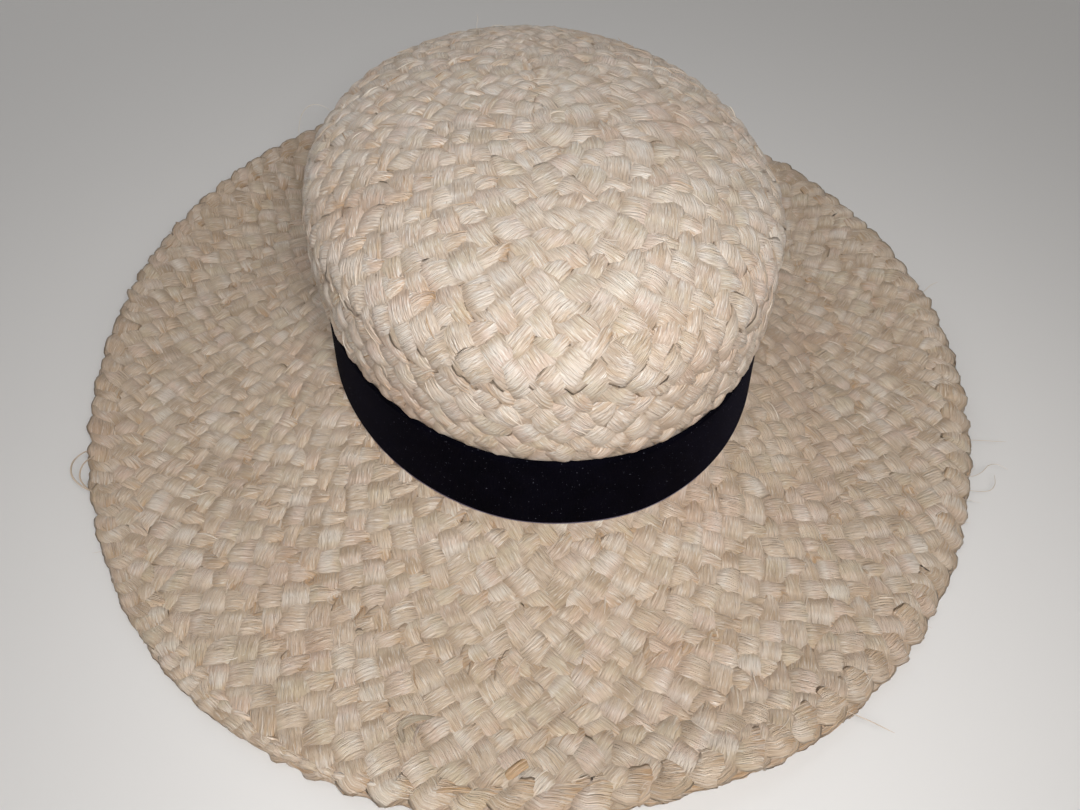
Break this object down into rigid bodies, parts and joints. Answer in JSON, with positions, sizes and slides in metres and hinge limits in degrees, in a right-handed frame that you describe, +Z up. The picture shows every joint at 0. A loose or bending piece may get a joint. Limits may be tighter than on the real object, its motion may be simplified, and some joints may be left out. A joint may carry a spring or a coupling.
{
  "type": "wide-brim straw hat",
  "caption": "Wide-brim sun hat of plaited raffia: a round domed crown, open below for the head, a broad softly waved brim that it rests on, and a plain velvet ribbon.",
  "frame": {"origin": "on the floor below the middle of the hat's bounding box; the hat rests on its brim at Z = 0", "axes": "+Z up through the crown, +Y along the head's length towards the back of the hat, -Y the wearer's front"},
  "size_m": [0.3462, 0.3824, 0.105],
  "materials": {
    "crown_straw": "natural raffia plait, cream, faint satin sheen",
    "brim_straw": "natural raffia plait, cream to warm beige, faint satin sheen",
    "velvet_ribbon": "black velvet pile with a woven selvage"
  },
  "bodies": {
    "root": {"crown": "crown_straw", "brim": "brim_straw", "hatband": "velvet_ribbon"}
  },
  "joints": []
}
